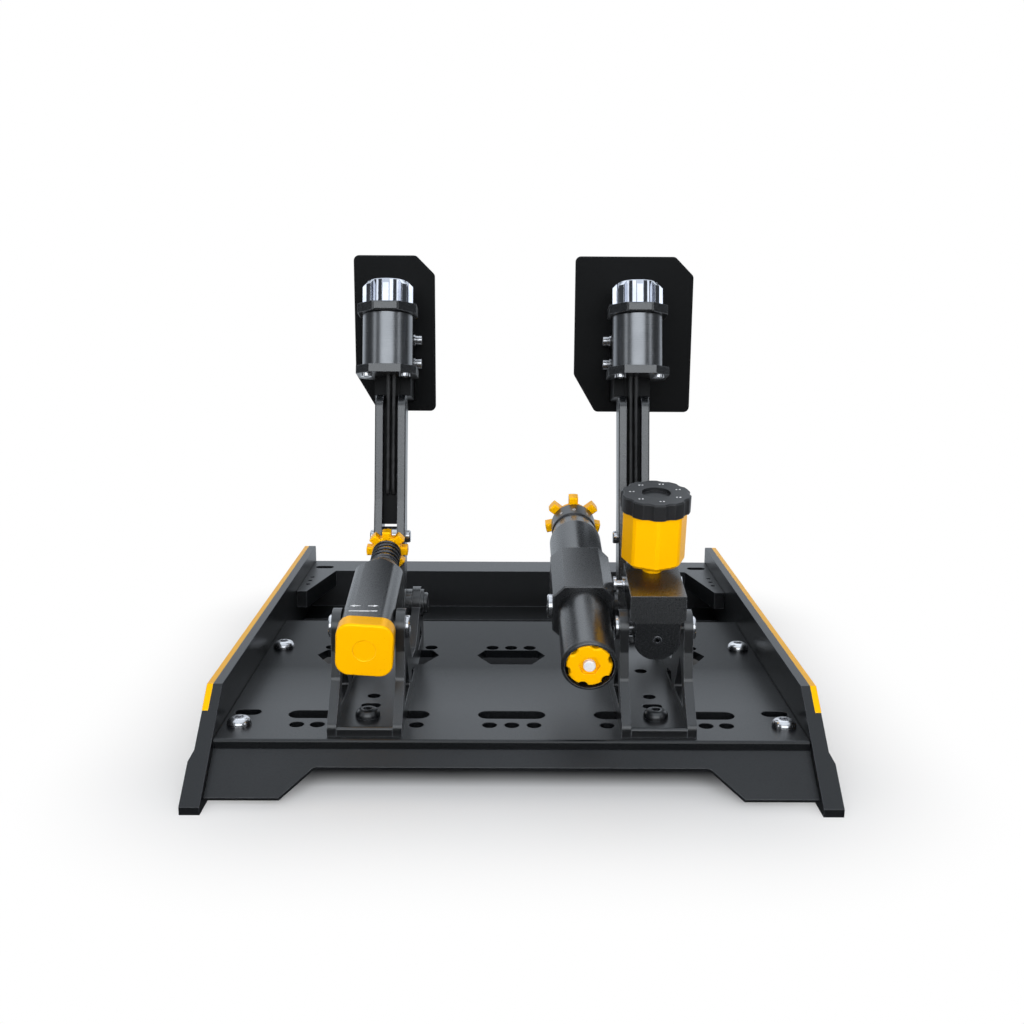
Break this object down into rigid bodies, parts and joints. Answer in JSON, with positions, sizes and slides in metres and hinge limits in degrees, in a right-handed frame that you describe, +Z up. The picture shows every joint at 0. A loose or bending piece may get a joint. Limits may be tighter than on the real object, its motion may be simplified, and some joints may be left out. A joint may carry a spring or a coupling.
{
  "type": "racing simulator pedal set",
  "caption": "Two hanging foot levers on a low railed base: a sprung lever with an inclined cylinder, and a stiff lever with a fluid cylinder, reservoir and side cylinder.",
  "frame": {"origin": "centre of the footprint at floor level", "axes": "+X to the right seen from the toe end, +Y from the toe end to the heel end, +Z up"},
  "size_m": [0.4, 0.45, 0.3305],
  "materials": {
    "orange_strip": "satin anodised",
    "yellow_anodised": "satin anodised",
    "bright_steel": "bright",
    "spring_steel": "dark polished",
    "grey_aluminium": "satin",
    "chrome": "polished",
    "lead_rubber": "matte",
    "black_coated": "fine powder coat",
    "black_anodised": "satin anodised"
  },
  "bodies": {
    "base": {"base_plate": "black_coated", "side_rail_left": "black_coated", "side_rail_right": "black_coated", "accent_strip_left": "orange_strip", "accent_strip_right": "orange_strip", "toe_skirt": "black_coated", "heel_beam": "black_coated", "base_bolts": "bright_steel", "bracket_bolts": "black_anodised", "trunnion_bolts": "bright_steel", "throttle_floor": "black_anodised", "throttle_cheek_left": "black_anodised", "throttle_cheek_right": "black_anodised", "throttle_pivot_axle": "black_anodised", "brake_floor": "black_anodised", "brake_cheek_left": "black_anodised", "brake_cheek_right": "black_anodised", "brake_pivot_axle": "black_anodised"},
    "throttle_pedal": {"throttle_arm_left": "black_anodised", "throttle_arm_right": "black_anodised", "throttle_arm_core": "black_anodised", "throttle_clevis_pin": "bright_steel", "throttle_pad": "black_anodised", "throttle_pad_screws": "bright_steel", "throttle_cap_screws": "bright_steel", "throttle_motor_mount": "black_anodised", "throttle_motor_can": "grey_aluminium", "throttle_motor_clamp": "black_anodised", "throttle_motor_cap": "chrome", "throttle_motor_leads": "lead_rubber"},
    "throttle_cylinder": {"throttle_housing": "black_anodised", "throttle_spring": "spring_steel"},
    "throttle_adjuster": {"throttle_end_cap": "yellow_anodised"},
    "throttle_rod_body": {"throttle_rod": "bright_steel"},
    "throttle_star": {"throttle_star_knob": "yellow_anodised"},
    "brake_pedal": {"brake_arm_left": "black_anodised", "brake_arm_right": "black_anodised", "brake_arm_core": "black_anodised", "brake_clevis_pin": "bright_steel", "brake_pad": "black_anodised", "brake_pad_screws": "bright_steel", "brake_cap_screws": "bright_steel", "brake_motor_mount": "black_anodised", "brake_motor_can": "grey_aluminium", "brake_motor_clamp": "black_anodised", "brake_motor_cap": "chrome", "brake_motor_leads": "lead_rubber"},
    "brake_unit": {"brake_master": "black_anodised", "brake_reservoir": "yellow_anodised", "cross_link": "bright_steel", "slave_tube": "black_anodised", "slave_body": "black_anodised", "slave_dial": "black_anodised", "slave_side_bolt": "bright_steel"},
    "brake_rod_body": {"brake_rod": "bright_steel"},
    "brake_fluid_cap": {"reservoir_cap": "black_anodised"},
    "brake_far_knob": {"slave_far_knob": "yellow_anodised"},
    "brake_near_knob": {"slave_near_knob": "yellow_anodised", "slave_set_screw": "bright_steel"}
  },
  "joints": [
    {"name": "throttle_pedal_hinge", "type": "hinge", "parent": "base", "child": "throttle_pedal", "pos_m": [-0.093, -0.0093, 0.0697], "axis": [1, 0, 0], "range_deg": [0, 14], "stiffness_Nm_per_rad": 18, "springref_deg": -6.88},
    {"name": "throttle_cylinder_hinge", "type": "hinge", "parent": "base", "child": "throttle_cylinder", "pos_m": [-0.093, -0.142, 0.0925], "axis": [1, 0, 0], "range_deg": [0, 1.7]},
    {"name": "throttle_rod_slide", "type": "slide", "parent": "throttle_cylinder", "child": "throttle_rod_body", "axis": [0, 0.9835, 0.181], "range_m": [-0.01184, 0], "deforming": ["throttle_spring"]},
    {"name": "throttle_end_cap_turn", "type": "hinge", "parent": "throttle_cylinder", "child": "throttle_adjuster", "pos_m": [-0.093, -0.17445, 0.08653], "axis": [0, 0.9835, 0.181], "continuous": true},
    {"name": "throttle_star_turn", "type": "hinge", "parent": "throttle_rod_body", "child": "throttle_star", "pos_m": [-0.093, -0.02165, 0.11464], "axis": [0, 0.9835, 0.181], "continuous": true},
    {"name": "brake_pedal_hinge", "type": "hinge", "parent": "base", "child": "brake_pedal", "pos_m": [0.093, -0.0093, 0.0697], "axis": [1, 0, 0], "range_deg": [0, 8], "stiffness_Nm_per_rad": 240, "springref_deg": -1.72},
    {"name": "brake_unit_hinge", "type": "hinge", "parent": "base", "child": "brake_unit", "pos_m": [0.093, -0.142, 0.0925], "axis": [1, 0, 0], "range_deg": [0, 1.08]},
    {"name": "brake_rod_slide", "type": "slide", "parent": "brake_unit", "child": "brake_rod_body", "axis": [0, 0.9835, 0.181], "range_m": [-0.00672, 0]},
    {"name": "reservoir_cap_turn", "type": "hinge", "parent": "brake_unit", "child": "brake_fluid_cap", "pos_m": [0.093, -0.12687, 0.16503], "axis": [0, -0.181, 0.9835], "continuous": true},
    {"name": "far_knob_turn", "type": "hinge", "parent": "brake_unit", "child": "brake_far_knob", "pos_m": [0.047, 0.00802, 0.13005], "axis": [0, 0.9763, 0.2164], "continuous": true},
    {"name": "near_knob_turn", "type": "hinge", "parent": "brake_unit", "child": "brake_near_knob", "pos_m": [0.047, -0.19309, 0.08547], "axis": [0, 0.9763, 0.2164], "continuous": true}
  ],
  "couplings": [
    {"joint": "throttle_cylinder_hinge", "follows": "throttle_pedal_hinge", "ratio": 0.1178},
    {"joint": "throttle_rod_slide", "follows": "throttle_pedal_hinge", "m_per_rad": -0.04803},
    {"joint": "brake_unit_hinge", "follows": "brake_pedal_hinge", "ratio": 0.1292},
    {"joint": "brake_rod_slide", "follows": "brake_pedal_hinge", "m_per_rad": -0.04741}
  ]
}
